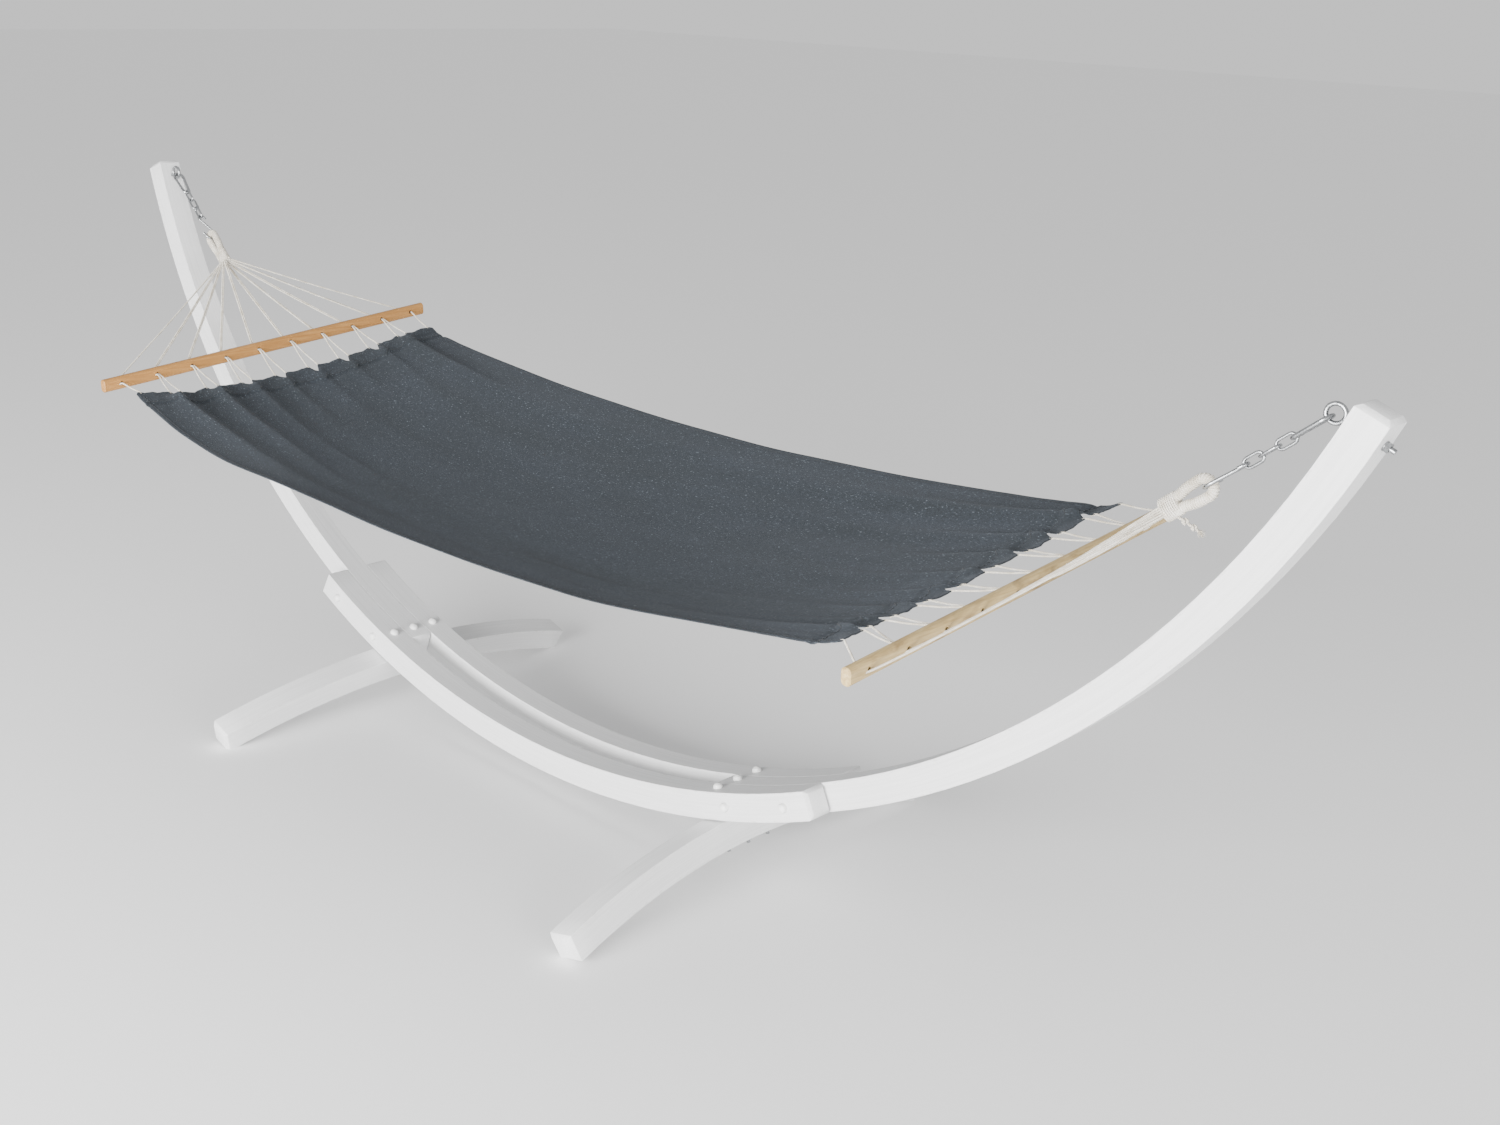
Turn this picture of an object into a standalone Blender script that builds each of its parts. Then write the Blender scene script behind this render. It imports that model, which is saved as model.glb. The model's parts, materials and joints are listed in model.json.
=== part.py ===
"""Hammock on an arched timber stand.

X runs along the hammock, Y across it and Z up. The origin is on the floor under the middle.
Two arms stand in the plane Y = 0. A front and a back rail clamp their lower ends, and a
cross foot is bolted under each joint. The hammock hangs between two eye bolts on snap hooks,
chains and S-hooks. All sizes are in metres.
"""

from math import asin, atan2, copysign, cos, pi, radians, sin, sqrt

import bmesh
import bpy
from mathutils import Matrix, Vector

GAP = 0.0003                      # air between touching pieces
ROCKING_GAP = 0.0009              # where one hanging piece rocks in another

# Bent timbers of the stand
ARC_RADIUS = 1.630                # inner face of the arms and rails
BEAM_DEPTH = 0.055                # radial thickness
BEAM_WIDTH = 0.056
RAIL_END = radians(26.24)
ARM_START = radians(16.46)
ARM_END = radians(68.88)
END_CHAMFER = 0.007
ARRIS = 0.0022
ARC_CUTS = 29                     # keeps the facets within 0.25 mm of the arc

# Cross feet, bent to nearly the same radius
FOOT_RADIUS = 1.655               # upper face
FOOT_DEPTH = 0.054
FOOT_WIDTH = 0.054
FOOT_HALF_ANGLE = 0.3113
FOOT_CUTS = 23
JOINT_ANGLE = radians(17.8)       # where each foot crosses the arc
FLOOR_TRIM = 0.008                # taken off the lowest corners so that they stand flat

RAIL_Y = BEAM_WIDTH + GAP         # centre of the back rail; the front rail is at the same distance
FOOT_SEAT = ARC_RADIUS + BEAM_DEPTH + GAP
FOOT_DROP = FOOT_RADIUS - (FOOT_RADIUS - FOOT_DEPTH) * cos(FOOT_HALF_ANGLE)
ARC_CENTRE_Z = ((FOOT_SEAT + FOOT_DROP) * cos(JOINT_ANGLE)
                + FOOT_WIDTH / 2 * sin(JOINT_ANGLE) - FLOOR_TRIM)

# M8 fasteners
BOLT_RADIUS = 0.004
HOLE_RADIUS = 0.0044
HEAD_RADIUS = 0.0065
HEAD_HEIGHT = 0.005
WASHER_RADIUS = 0.008
WASHER_HEIGHT = 0.0016
NUT_RADIUS = 0.0075               # across corners
NUT_HEIGHT = 0.0065
BOLT_STICKOUT = 0.006             # past the nut
BOLT_CHAMFER = 0.0008
CAP_RADIUS = 0.0095
CAP_INNER_RADIUS = 0.0084
CAP_HEIGHT = 0.0098
CAP_RIM = 0.0025                  # straight part below the dome
SIDE_BOLT_ANGLES = (radians(19.04), radians(24.1))

# Eye bolt through the top of each arm
EYE_ANGLE = radians(67.5)
EYE_RADIUS = 0.014
EYE_WIRE = 0.0035
EYE_NECK = 0.004                  # from the arm's face to the ring's outside
EYE_DISTANCE = ARC_RADIUS - EYE_NECK - EYE_WIRE - EYE_RADIUS
EYE_STICKOUT = 0.008

# Spreader bars
BAR_X = 1.060
BAR_Z = 0.744
BAR_LENGTH = 0.935
BAR_THICKNESS = 0.018
BAR_DEPTH = 0.030
BAR_ROUNDING = 0.0078
HOLE_COUNT = 10
HOLE_PITCH = 0.094
CORD_HOLE_RADIUS = 0.0046
ROLL = radians(5.0)               # the near side of the bed hangs a little lower

# Hanging hardware, measured along the line of pull from the ring's centre
SNAP_WIRE = 0.0035
SNAP_LENGTH = 0.063
SNAP_WIDE = 0.012
SNAP_NARROW = 0.0075
LINK_WIRE = 0.0025
LINK_LENGTH = 0.033
LINK_RADIUS = 0.0075
HOOK_WIRE = 0.003
HOOK_LENGTH = 0.052               # between the centres of its two bends
HOOK_TOP_RADIUS = 0.008
HOOK_BOTTOM_RADIUS = 0.014
GATE_WIRE = 0.0029
GATE_PIN_RADIUS = 0.001
GATE_PIN_LENGTH = 0.0066
TONGUE_THICKNESS = 0.003          # the body's flattened end, inside the gate's fork
TONGUE_REACH = 0.0022             # past the pin
FORK_REACH = 0.0026               # past the pin, the other way
NOSE_STEP = 0.0015                # from the nose's tip to the end of its bend

# Rope work
ROPE_RADIUS = 0.009
LOOP_RADIUS = 0.014
COLLAR_START = 0.268
COLLAR_END = 0.296
COLLAR_RADIUS = 0.019
COLLAR_FLATNESS = 0.63            # width across Y against height
CORD_RADIUS = 0.00175
CORD_SPACING = 0.00195            # half the distance between paired strands
CORD_ROW = 0.0039                 # between the rows of strands in the collar
CORD_SINK = 0.005                 # depth of the strands' ends in the collar
COLUMN_DISTANCE = 0.0043          # from the collar's middle to each column of strands
TAIL_RADIUS = 0.0032

# Cloth
CLOTH_HALF_WIDTH = 0.430
CLOTH_HALF_LENGTH = 0.955
CLOTH_MIDDLE_Z = 0.656
CLOTH_RISE = 0.075                # per square metre of X
CLOTH_TILT = 0.012
CLOTH_THICKNESS = 0.003
CLOTH_END_SAG = 0.024
CLOTH_MIDDLE_SAG = 0.090
HEM_RETREAT = 0.020               # the end hem bows towards the middle of the bed
TAB_HALF_GAP = 0.014              # the strands of a pair spread by this at the hem
CORNER_INSET = 0.010
HEM_CLEARANCE = 0.002

WHITE = (0.90, 0.90, 0.89)
CAP_WHITE = (0.86, 0.86, 0.84)
ZINC = (0.62, 0.63, 0.64)
OILED_WOOD = (0.62, 0.34, 0.10)
PALE_WOOD = (0.78, 0.62, 0.38)
COTTON = (0.83, 0.79, 0.71)
DENIM = (0.055, 0.068, 0.085)


def make_material(name, colour, roughness, metallic=0.0):
    material = bpy.data.materials.new(name)
    material.use_nodes = True
    shader = material.node_tree.nodes["Principled BSDF"]
    shader.inputs["Base Color"].default_value = (*colour, 1.0)
    shader.inputs["Roughness"].default_value = roughness
    shader.inputs["Metallic"].default_value = metallic
    return material


def add_object(name, data, material, matrix=Matrix.Identity(4), collection=None):
    """Link data as a named object with one material, placed by a matrix."""
    thing = bpy.data.objects.new(name, data)
    thing.matrix_world = matrix
    if material is not None:
        data.materials.clear()
        data.materials.append(material)
    (collection or PARTS).objects.link(thing)
    return thing


def evaluated_mesh(thing):
    """The object's mesh with its modifiers, after which the object is removed."""
    bpy.context.view_layer.update()
    graph = bpy.context.evaluated_depsgraph_get()
    mesh = bpy.data.meshes.new_from_object(thing.evaluated_get(graph))
    bpy.data.objects.remove(thing)
    return mesh


def weld(mesh):
    bm = bmesh.new()
    bm.from_mesh(mesh)
    bmesh.ops.remove_doubles(bm, verts=bm.verts, dist=0.00001)
    bm.to_mesh(mesh)
    bm.free()
    return mesh


def smooth(mesh, angle=radians(35)):
    mesh.shade_smooth()
    mesh.set_sharp_from_angle(angle=angle)
    return mesh


def turned_mesh(profile, steps):
    """A solid of revolution about Z. The profile runs down its outer side."""
    mesh = bpy.data.meshes.new("profile")
    edges = [(i, i + 1) for i in range(len(profile) - 1)]
    mesh.from_pydata([(r, 0.0, z) for r, z in profile], edges, [])
    thing = add_object("profile", mesh, None)
    screw = thing.modifiers.new("Turn", "SCREW")
    screw.steps = steps
    screw.render_steps = steps
    screw.use_merge_vertices = True
    screw.merge_threshold = 0.00001
    return smooth(evaluated_mesh(thing))


def ring(count, radius):
    return [(radius * cos(2 * pi * i / count), radius * sin(2 * pi * i / count))
            for i in range(count)]


def arc(centre, radius, start, end, count):
    """Points on an arc in a plane, angles in radians."""
    step = (end - start) / (count - 1)
    return [(centre[0] + radius * cos(start + step * i), centre[1] + radius * sin(start + step * i))
            for i in range(count)]


def tube_curve(paths, radius, cyclic=False, resolution=2):
    """Round wire or cord along one or more lists of 3-D points."""
    curve = bpy.data.curves.new("tube", "CURVE")
    curve.dimensions = "3D"
    curve.bevel_depth = radius
    curve.bevel_resolution = resolution
    curve.use_fill_caps = not cyclic
    for path in paths:
        spline = curve.splines.new("POLY")
        spline.points.add(len(path) - 1)
        for point, place in zip(spline.points, path):
            point.co = (*place, 1.0)
        spline.use_cyclic_u = cyclic
    return curve


def tube_mesh(path, radius, cyclic=False, resolution=2):
    return weld(evaluated_mesh(add_object("tube", tube_curve([path], radius, cyclic, resolution), None)))


def merged_mesh(name, mesh, matrices):
    """One mesh that holds a separate copy of the given mesh at each matrix."""
    bm = bmesh.new()
    for matrix in matrices:
        before = len(bm.verts)
        bm.from_mesh(mesh)
        bm.verts.ensure_lookup_table()
        bmesh.ops.transform(bm, matrix=matrix, verts=bm.verts[before:])
    result = bpy.data.meshes.new(name)
    bm.to_mesh(result)
    bm.free()
    return smooth(result)


def cylinder_mesh(radius, depth, segments=12):
    bm = bmesh.new()
    bmesh.ops.create_cone(bm, cap_ends=True, segments=segments, radius1=radius, radius2=radius,
                          depth=depth)
    mesh = bpy.data.meshes.new("cylinder")
    bm.to_mesh(mesh)
    bm.free()
    return smooth(mesh)


def box_mesh(size, centre=(0.0, 0.0, 0.0)):
    bm = bmesh.new()
    bmesh.ops.create_cube(bm, size=1.0)
    bmesh.ops.scale(bm, vec=Vector(size), verts=bm.verts)
    bmesh.ops.translate(bm, vec=Vector(centre), verts=bm.verts)
    mesh = bpy.data.meshes.new("box")
    bm.to_mesh(mesh)
    bm.free()
    return mesh


def add_cutter(name, mesh, matrices):
    cutter = add_object(name, merged_mesh(name, mesh, matrices), None, collection=CUTTERS)
    cutter.hide_render = True
    cutter.display_type = "WIRE"
    return cutter


def combine(thing, other, operation):
    modifier = thing.modifiers.new(operation.title(), "BOOLEAN")
    modifier.operation = operation
    modifier.solver = "EXACT"
    modifier.use_self = operation == "UNION"
    modifier.object = other


def bevel(thing, width, segments=1):
    modifier = thing.modifiers.new("Bevel", "BEVEL")
    modifier.width = width
    modifier.segments = segments
    modifier.limit_method = "ANGLE"
    modifier.angle_limit = radians(30)


def radial_frame(angle):
    """Frame at the arc's centre whose -Z points outwards at this angle from straight down."""
    return Matrix.Translation((0.0, 0.0, ARC_CENTRE_Z)) @ Matrix.Rotation(-angle, 4, "Y")


def at(x, y, z):
    return Matrix.Translation((x, y, z))


def pull_frame(side):
    """Frame at the eye ring: X runs down the line of pull, Z is square to it in the XZ plane."""
    turn = Matrix.Identity(4) if side < 0 else Matrix.Rotation(pi, 4, "Z")
    return Matrix.Translation(eye_centre(side)) @ turn @ Matrix.Rotation(PULL_ANGLE, 4, "Y")


def eye_centre(side):
    return radial_frame(side * EYE_ANGLE) @ Vector((0.0, 0.0, -EYE_DISTANCE))


def bent_beam_mesh(name, start, end, inner_radius, depth, width, cuts, convex_up=False):
    """A square timber bent to an arc, with chamfered ends.

    The straight beam lies along X, measured at its inner face. Each vertex is then moved to the
    angle X / radius. A timber that is convex upwards keeps its upper face on inner_radius.
    """
    length = (end - start) * inner_radius
    bm = bmesh.new()
    bmesh.ops.create_cube(bm, size=1.0)
    bmesh.ops.scale(bm, vec=Vector((length, width, depth)), verts=bm.verts)
    ends = [e for e in bm.edges if abs(e.verts[0].co.x - e.verts[1].co.x) < length / 2]
    bmesh.ops.bevel(bm, geom=ends, offset=END_CHAMFER, segments=1, affect="EDGES",
                    clamp_overlap=True)
    straight = length - 2.2 * END_CHAMFER
    for i in range(cuts):
        place = -straight / 2 + straight * i / (cuts - 1)
        bmesh.ops.bisect_plane(bm, geom=bm.verts[:] + bm.edges[:] + bm.faces[:], dist=0.000001,
                               plane_co=(place, 0.0, 0.0), plane_no=(1.0, 0.0, 0.0))
    middle = (start + end) / 2
    for vertex in bm.verts:
        angle = middle + vertex.co.x / inner_radius
        if convex_up:
            radius = inner_radius - depth / 2 + vertex.co.z
            vertex.co = (vertex.co.y, radius * sin(angle), radius * cos(angle) - inner_radius)
        else:
            radius = inner_radius + depth / 2 - vertex.co.z
            vertex.co = (radius * sin(angle), vertex.co.y, -radius * cos(angle))
    bmesh.ops.recalc_face_normals(bm, faces=bm.faces)
    mesh = bpy.data.meshes.new(name)
    bm.to_mesh(mesh)
    bm.free()
    return mesh


def rail_matrices(sides=(-1, 1)):
    """Where the horizontal bolts cross the rails, with local Z towards the front."""
    middle = ARC_RADIUS + BEAM_DEPTH / 2
    return [radial_frame(side * angle) @ at(0.0, 0.0, -middle) @ Matrix.Rotation(pi / 2, 4, "X")
            for side in sides for angle in SIDE_BOLT_ANGLES]


def foot_matrices(side, rows=(-1, 0, 1)):
    """The upright bolts' axes at the arc's inner face, with local Z up."""
    return [radial_frame(side * JOINT_ANGLE) @ at(0.0, row * RAIL_Y, -ARC_RADIUS) for row in rows]


def build_rails():
    cross = cylinder_mesh(HOLE_RADIUS, 3.6 * BEAM_WIDTH)
    upright = cylinder_mesh(HOLE_RADIUS, 4 * BEAM_DEPTH)
    for name, row in (("front_rail", -1), ("back_rail", 1)):
        mesh = bent_beam_mesh(name, -RAIL_END, RAIL_END, ARC_RADIUS, BEAM_DEPTH, BEAM_WIDTH, ARC_CUTS)
        rail = add_object(name, mesh, MATERIALS["paint"], at(0.0, row * RAIL_Y, ARC_CENTRE_Z))
        bevel(rail, ARRIS)
        combine(rail, add_cutter(name + "_cross_holes", cross, rail_matrices()), "DIFFERENCE")
        places = foot_matrices(-1, (row,)) + foot_matrices(1, (row,))
        combine(rail, add_cutter(name + "_foot_holes", upright, places), "DIFFERENCE")


def build_arm(name, side):
    start, end = sorted((side * ARM_START, side * ARM_END))
    mesh = bent_beam_mesh(name, start, end, ARC_RADIUS, BEAM_DEPTH, BEAM_WIDTH, ARC_CUTS)
    arm = add_object(name, mesh, MATERIALS["paint"], at(0.0, 0.0, ARC_CENTRE_Z))
    bevel(arm, ARRIS)
    cross = cylinder_mesh(HOLE_RADIUS, 3.6 * BEAM_WIDTH)
    combine(arm, add_cutter(name + "_cross_holes", cross, rail_matrices((side,))), "DIFFERENCE")
    upright = cylinder_mesh(HOLE_RADIUS, 4 * BEAM_DEPTH)
    places = foot_matrices(side, (0,))
    places.append(radial_frame(side * EYE_ANGLE) @ at(0.0, 0.0, -ARC_RADIUS))
    combine(arm, add_cutter(name + "_upright_holes", upright, places), "DIFFERENCE")


def build_foot(name, side):
    mesh = bent_beam_mesh(name, -FOOT_HALF_ANGLE, FOOT_HALF_ANGLE, FOOT_RADIUS, FOOT_DEPTH,
                          FOOT_WIDTH, FOOT_CUTS, convex_up=True)
    place = radial_frame(side * JOINT_ANGLE) @ at(0.0, 0.0, -FOOT_SEAT)
    foot = add_object(name, mesh, MATERIALS["paint"], place)
    bevel(foot, ARRIS)
    upright = cylinder_mesh(HOLE_RADIUS, 6 * BEAM_DEPTH)
    combine(foot, add_cutter(name + "_holes", upright, foot_matrices(side)), "DIFFERENCE")
    below = box_mesh((FOOT_RADIUS, FOOT_RADIUS, BEAM_DEPTH), (0.0, 0.0, -BEAM_DEPTH / 2))
    combine(foot, add_cutter(name + "_floor", below, [Matrix.Identity(4)]), "DIFFERENCE")


def bolt_mesh(length):
    """Round-headed bolt with its washer; Z = 0 is under the washer."""
    head = WASHER_HEIGHT + HEAD_HEIGHT
    profile = [(0.0, head), (HEAD_RADIUS - BOLT_CHAMFER, head), (HEAD_RADIUS, head - BOLT_CHAMFER),
               (HEAD_RADIUS, WASHER_HEIGHT), (WASHER_RADIUS, WASHER_HEIGHT), (WASHER_RADIUS, 0.0),
               (BOLT_RADIUS, 0.0), (BOLT_RADIUS, BOLT_CHAMFER - length),
               (BOLT_RADIUS - BOLT_CHAMFER, -length), (0.0, -length)]
    return turned_mesh(profile, 12)


def nut_mesh():
    """Hexagonal nut on its washer; Z = 0 is the washer's face on the timber, the nut is below."""
    height = WASHER_HEIGHT + NUT_HEIGHT
    hexagon = cylinder_mesh(NUT_RADIUS, height, 6)
    hexagon.transform(at(0.0, 0.0, -height / 2))
    nut = add_object("nut", hexagon, None)
    washer = cylinder_mesh(WASHER_RADIUS, WASHER_HEIGHT, 16)
    combine(nut, add_cutter("nut_washer", washer, [at(0.0, 0.0, -WASHER_HEIGHT / 2)]), "UNION")
    bore = add_cutter("nut_bore", cylinder_mesh(HOLE_RADIUS, 4 * height), [Matrix.Identity(4)])
    combine(nut, bore, "DIFFERENCE")
    return smooth(evaluated_mesh(nut))


def cap_mesh():
    """Domed cover with a hollow for the washer and head; Z = 0 is its rim."""
    wall = CAP_RADIUS - CAP_INNER_RADIUS
    dome = CAP_HEIGHT - CAP_RIM
    profile = []
    for i in range(4):
        angle = pi / 2 - pi / 2 * i / 3
        profile.append((CAP_RADIUS * cos(angle), CAP_RIM + dome * sin(angle)))
    profile[0] = (0.0, CAP_HEIGHT)
    profile.append((CAP_RADIUS, 0.0))
    profile.append((CAP_INNER_RADIUS, 0.0))
    for i in range(3):
        angle = pi / 2 * i / 2
        profile.append((CAP_INNER_RADIUS * cos(angle), CAP_RIM + (dome - wall) * sin(angle)))
    profile[-1] = (0.0, CAP_HEIGHT - wall)
    return turned_mesh(profile, 12)


def build_fasteners(kind, bases, face, grip):
    """A bolt, cap and nut on each base frame.

    The head bears on the timber at local Z = face, and the nut at the far side of the grip.
    """
    bolt = bolt_mesh(grip + WASHER_HEIGHT + NUT_HEIGHT + BOLT_STICKOUT)
    cap = cap_mesh()
    nut = nut_mesh()
    for number, base in enumerate(bases, 1):
        top = base @ at(0.0, 0.0, face)
        add_object(f"{kind}_bolt_{number}", bolt, MATERIALS["zinc"], top)
        add_object(f"{kind}_cap_{number}", cap, MATERIALS["cap"], top)
        add_object(f"{kind}_nut_{number}", nut, MATERIALS["zinc"], top @ at(0.0, 0.0, -grip))


def foot_underside(y):
    """Radial depth of the foot's lower face below its seat, at a distance from the middle."""
    return FOOT_RADIUS - sqrt((FOOT_RADIUS - FOOT_DEPTH) ** 2 - y * y)


def build_joint(side_name, side):
    """Two bolts across rail, arm and rail, and three down into the foot."""
    face = RAIL_Y + BEAM_WIDTH / 2 + GAP
    build_fasteners(side_name + "_side", rail_matrices((side,)), face, 2 * face)
    seat = FOOT_SEAT - ARC_RADIUS + foot_underside(RAIL_Y + WASHER_RADIUS)
    build_fasteners(side_name + "_foot", foot_matrices(side), GAP, seat + 2 * GAP)


def build_eye_bolt(side_name, side):
    """Ring inside the arc and shank through the arm, held by a nut and washer outside."""
    frame = radial_frame(side * EYE_ANGLE)
    outer = ARC_RADIUS + BEAM_DEPTH + GAP
    tip = outer + WASHER_HEIGHT + NUT_HEIGHT + EYE_STICKOUT
    neck = EYE_DISTANCE + EYE_RADIUS
    circle = [(x, 0.0, z) for x, z in ring(20, EYE_RADIUS)]
    eye = add_object(side_name + "_eye_bolt", tube_mesh(circle, EYE_WIRE, cyclic=True),
                     MATERIALS["zinc"], frame @ at(0.0, 0.0, -EYE_DISTANCE))
    shank = cylinder_mesh(BOLT_RADIUS, tip - neck, 12)
    cutter = add_cutter(side_name + "_eye_shank", shank, [frame @ at(0.0, 0.0, -(tip + neck) / 2)])
    combine(eye, cutter, "UNION")
    add_object(side_name + "_eye_nut", nut_mesh(), MATERIALS["zinc"], frame @ at(0.0, 0.0, -outer))


def snap_points():
    """Centres and angles that the snap hook's wire, gate and pin share."""
    top = SNAP_START + SNAP_WIDE
    bottom = SNAP_START + SNAP_LENGTH - SNAP_NARROW
    tilt = atan2(SNAP_WIDE - SNAP_NARROW, sqrt((bottom - top) ** 2 - (SNAP_WIDE - SNAP_NARROW) ** 2))
    upper = Vector((top + SNAP_WIDE * sin(tilt), -SNAP_WIDE * cos(tilt), 0.0))
    lower = Vector((bottom + SNAP_NARROW * sin(tilt), -SNAP_NARROW * cos(tilt), 0.0))
    return top, bottom, tilt, upper, lower


def gate_hinge():
    """The gate pin's centre in the pull frame, and the gate's direction from it."""
    top, bottom, tilt, upper, lower = snap_points()
    direction = (upper - lower).normalized()
    return lower + direction * SNAP_WIRE, direction


def build_snap_hook(side_name, side):
    """Pear-shaped wire body with an inward gate on its -Y side in the pull frame."""
    frame = pull_frame(side)
    top, bottom, tilt, upper, lower = snap_points()
    hinge, direction = gate_hinge()
    nose = upper - direction * NOSE_STEP
    path = [nose]
    path += [Vector((x, y, 0.0)) for x, y in
             arc((top, 0.0), SNAP_WIDE, 1.5 * pi + tilt, 0.5 * pi - tilt, 12)]
    path += [Vector((x, y, 0.0)) for x, y in
             arc((bottom, 0.0), SNAP_NARROW, 0.5 * pi - tilt, -0.5 * pi + tilt, 10)]
    path.append(hinge + direction * TONGUE_REACH)
    body = add_object(side_name + "_snap_hook", tube_mesh(path, SNAP_WIRE), MATERIALS["zinc"], frame)
    across = Matrix.Translation(hinge) @ Matrix.Rotation(atan2(direction.y, direction.x), 4, "Z")
    cheek = box_mesh((2.7 * SNAP_WIRE, 4 * SNAP_WIRE, 2 * SNAP_WIRE))
    beside = SNAP_WIRE + TONGUE_THICKNESS / 2
    cheeks = [frame @ across @ at(0.0, 0.0, z) for z in (-beside, beside)]
    combine(body, add_cutter(side_name + "_tongue", cheek, cheeks), "DIFFERENCE")
    pin_hole = cylinder_mesh(GATE_PIN_RADIUS + 0.0002, 6 * SNAP_WIRE, 10)
    combine(body, add_cutter(side_name + "_body_pin_hole", pin_hole, [frame @ across]), "DIFFERENCE")

    reach = (nose - hinge).length - 2 * GAP
    gate_path = [Vector((x, 0.0, 0.0)) for x in (-FORK_REACH, reach / 2, reach)]
    gate = add_object(side_name + "_snap_gate", tube_mesh(gate_path, GATE_WIRE), MATERIALS["zinc"],
                      frame @ across)
    fork = box_mesh((5 * GATE_WIRE, 4 * GATE_WIRE, TONGUE_THICKNESS + 2 * GAP))
    combine(gate, add_cutter(side_name + "_fork", fork, [frame @ across]), "DIFFERENCE")
    combine(gate, add_cutter(side_name + "_gate_pin_hole", pin_hole, [frame @ across]), "DIFFERENCE")
    pin = cylinder_mesh(GATE_PIN_RADIUS, GATE_PIN_LENGTH, 10)
    add_object(side_name + "_gate_pin", pin, MATERIALS["zinc"], frame @ across)


def link_path(start, upright):
    """A chain link's centre line; it lies in the XZ plane of the pull frame when upright."""
    half = LINK_LENGTH - 2 * LINK_RADIUS
    flat = arc((start + LINK_RADIUS, 0.0), LINK_RADIUS, 1.5 * pi, 0.5 * pi, 7)
    flat += arc((start + LINK_RADIUS + half, 0.0), LINK_RADIUS, 0.5 * pi, -0.5 * pi, 7)
    return [(x, 0.0, y) if upright else (x, y, 0.0) for x, y in flat]


def build_chain(side_name, side):
    for number, start in enumerate(LINK_STARTS, 1):
        path = link_path(start, upright=number != 2)
        add_object(f"{side_name}_chain_link_{number}", tube_mesh(path, LINK_WIRE, cyclic=True),
                   MATERIALS["zinc"], pull_frame(side))


def build_s_hook(side_name, side):
    """Small bend in the chain, large bend in the rope loop, joined by a slanting shank."""
    top = HOOK_START + HOOK_TOP_RADIUS
    bottom = top + HOOK_LENGTH
    lean = asin((HOOK_TOP_RADIUS + HOOK_BOTTOM_RADIUS) / HOOK_LENGTH)
    flat = [(top + 0.004, HOOK_TOP_RADIUS + 0.0015)]
    flat += arc((top, 0.0), HOOK_TOP_RADIUS, 0.5 * pi, 1.5 * pi + lean, 11)
    flat += arc((bottom, 0.0), HOOK_BOTTOM_RADIUS, 0.5 * pi + lean, -0.5 * pi, 13)
    flat.append((bottom - 0.006, -HOOK_BOTTOM_RADIUS - 0.0025))
    path = [(x, y, 0.0) for x, y in flat]
    add_object(side_name + "_s_hook", tube_mesh(path, HOOK_WIRE), MATERIALS["zinc"], pull_frame(side))


def rope_loop_mesh():
    """Whipped rope eye in the pull frame, bent round the S-hook, with both legs in the collar."""
    centre = LOOP_END + LOOP_RADIUS
    leg = ROPE_RADIUS + GAP
    flat = [(COLLAR_START + 0.010, leg), (COLLAR_START - 0.012, leg + 0.0012),
            (COLLAR_START - 0.028, LOOP_RADIUS - 0.0004)]
    flat += arc((centre, 0.0), LOOP_RADIUS, 0.5 * pi, 1.5 * pi, 11)
    flat += [(x, -z) for x, z in reversed(flat[:3])]
    return tube_mesh([(x, 0.0, z) for x, z in flat], ROPE_RADIUS, resolution=3)


def collar_mesh():
    """Barrel about X, flattened across Y; X = 0 is its end on the loop's side."""
    length = COLLAR_END - COLLAR_START
    profile = [(0.0, length), (COLLAR_RADIUS * 0.82, length), (COLLAR_RADIUS * 0.97, length * 0.82),
               (COLLAR_RADIUS, length * 0.5), (COLLAR_RADIUS * 0.97, length * 0.18),
               (COLLAR_RADIUS * 0.84, 0.0), (0.0, 0.0)]
    mesh = turned_mesh(profile, 16)
    mesh.transform(Matrix.Diagonal((1.0, COLLAR_FLATNESS, 1.0, 1.0)))
    mesh.transform(Matrix.Rotation(pi / 2, 4, "Y"))
    return mesh


def tail_path():
    """Knotted free end of the right whipping, set stiffly into the collar."""
    start = pull_frame(1) @ Vector(((COLLAR_START + COLLAR_END) / 2, 0.0, -COLLAR_RADIUS + 0.004))
    steps = ((0.0, 0.0, 0.0), (0.010, 0.007, -0.010), (0.020, 0.016, -0.017), (0.028, 0.025, -0.027))
    return [start + Vector(step) for step in steps]


def bar_point(side, y, x_offset=0.0):
    """A point on a spreader bar's axis, or beside it along X, at a distance along the bar."""
    return Vector((side * (BAR_X + x_offset), y * cos(ROLL), BAR_Z + y * sin(ROLL)))


def build_spreader_bar(name, side, material):
    bm = bmesh.new()
    bmesh.ops.create_cube(bm, size=1.0)
    bmesh.ops.scale(bm, vec=Vector((BAR_THICKNESS, BAR_LENGTH, BAR_DEPTH)), verts=bm.verts)
    long_edges = [e for e in bm.edges if abs(e.verts[0].co.y - e.verts[1].co.y) > BAR_LENGTH / 2]
    bmesh.ops.bevel(bm, geom=long_edges, offset=BAR_ROUNDING, segments=4, profile=0.5, affect="EDGES",
                    clamp_overlap=True)
    mesh = bpy.data.meshes.new(name)
    bm.to_mesh(mesh)
    bm.free()
    frame = at(side * BAR_X, 0.0, BAR_Z) @ Matrix.Rotation(ROLL, 4, "X")
    bar = add_object(name, smooth(mesh), material, frame)
    rim = bar.modifiers.new("Rim", "BEVEL")
    rim.width = 0.0018
    rim.segments = 1
    rim.limit_method = "ANGLE"
    rim.angle_limit = radians(60)
    drill = cylinder_mesh(CORD_HOLE_RADIUS, 0.06, 12)
    places = [frame @ at(0.0, hole_y(k), 0.0) @ Matrix.Rotation(pi / 2, 4, "Y") for k in range(HOLE_COUNT)]
    combine(bar, add_cutter(name + "_holes", drill, places), "DIFFERENCE")


def hole_y(k):
    return (k - (HOLE_COUNT - 1) / 2) * HOLE_PITCH


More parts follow.
